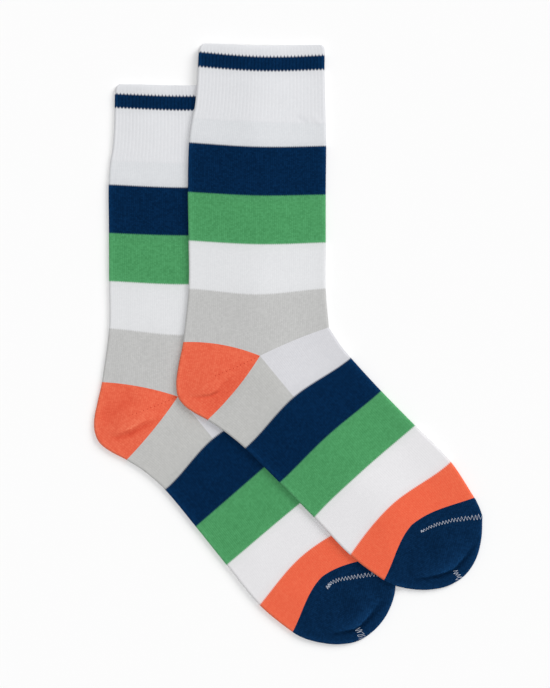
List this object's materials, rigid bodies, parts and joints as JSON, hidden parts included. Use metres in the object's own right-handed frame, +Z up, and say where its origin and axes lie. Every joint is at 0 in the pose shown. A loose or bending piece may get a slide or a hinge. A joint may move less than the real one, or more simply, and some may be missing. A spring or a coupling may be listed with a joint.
{
  "type": "pair of crew socks",
  "caption": "Pair of knitted crew socks with wide stripes, laid flat on their sides, one partly over the other.",
  "frame": {"origin": "centre of the footprint of the pair, on the surface it lies on", "axes": "+Y runs up the legs to the cuffs and -Y to the toes, +X runs from the heels to the insteps, +Z up from the surface"},
  "size_m": [0.2794, 0.4321, 0.0093],
  "materials": {
    "cuff_rib": "matt 1x1 rib, white with one navy band",
    "leg_knit": "matt plain knit in stripes of white, navy, green, white and light grey",
    "heel_knit": "matt plain knit in coral",
    "foot_knit": "matt plain knit in stripes of grey and white, navy, green, white and coral",
    "toe_knit": "matt plain knit in navy",
    "seam_thread": "thin pale linking thread"
  },
  "bodies": {
    "root": {"under_sock_cuff": "cuff_rib", "under_sock_leg": "leg_knit", "under_sock_heel": "heel_knit", "under_sock_foot": "foot_knit", "under_sock_toe": "toe_knit", "top_sock_cuff": "cuff_rib", "top_sock_leg": "leg_knit", "top_sock_heel": "heel_knit", "top_sock_foot": "foot_knit", "top_sock_toe": "toe_knit"}
  },
  "joints": []
}
